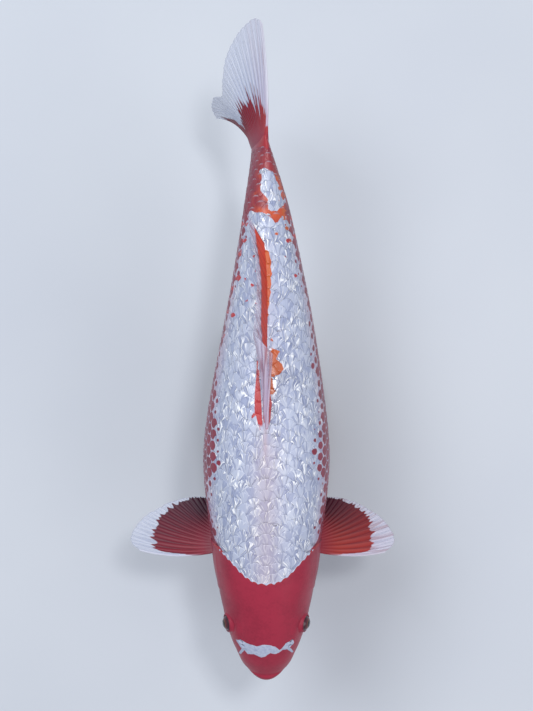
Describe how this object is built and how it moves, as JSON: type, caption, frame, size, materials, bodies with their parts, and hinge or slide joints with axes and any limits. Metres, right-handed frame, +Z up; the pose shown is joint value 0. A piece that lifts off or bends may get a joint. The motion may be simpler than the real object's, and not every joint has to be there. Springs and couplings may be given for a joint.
{
  "type": "koi carp",
  "caption": "Life-size koi carp as a still museum-style model, red head and white scaled back, fins spread, held over an oval base by slim rods.",
  "frame": {"origin": "centre of the stand base's underside", "axes": "+Z up, the head towards -Y and the tail towards +Y, the fish's left side towards +X"},
  "size_m": [0.2695, 0.6396, 0.3298],
  "materials": {
    "head_skin": "smooth wet skin, deep crimson",
    "scales": "pearly overlapping scales, silvery white with red at the flanks",
    "fin_skin": "ribbed fin skin, red at the root and clear white at the edge",
    "eye": "wet, dark maroon iris and black pupil",
    "base_wood": "satin dark walnut",
    "rod_steel": "brushed"
  },
  "bodies": {
    "root": {"head": "head_skin", "lower_jaw": "head_skin", "gill_cover_left": "head_skin", "gill_cover_right": "head_skin", "lip_barbel_left": "head_skin", "lip_barbel_right": "head_skin", "corner_barbel_left": "head_skin", "corner_barbel_right": "head_skin", "eye_left": "eye", "eye_right": "eye", "trunk": "scales", "tail_root": "scales", "dorsal_fin": "fin_skin", "anal_fin": "fin_skin", "caudal_fin": "fin_skin", "pectoral_fin_left": "fin_skin", "pectoral_fin_right": "fin_skin", "pelvic_fin_left": "fin_skin", "pelvic_fin_right": "fin_skin", "stand_base": "base_wood", "stand_rod_front": "rod_steel", "stand_rod_rear": "rod_steel", "stand_collar_front": "rod_steel", "stand_collar_rear": "rod_steel"}
  },
  "joints": []
}
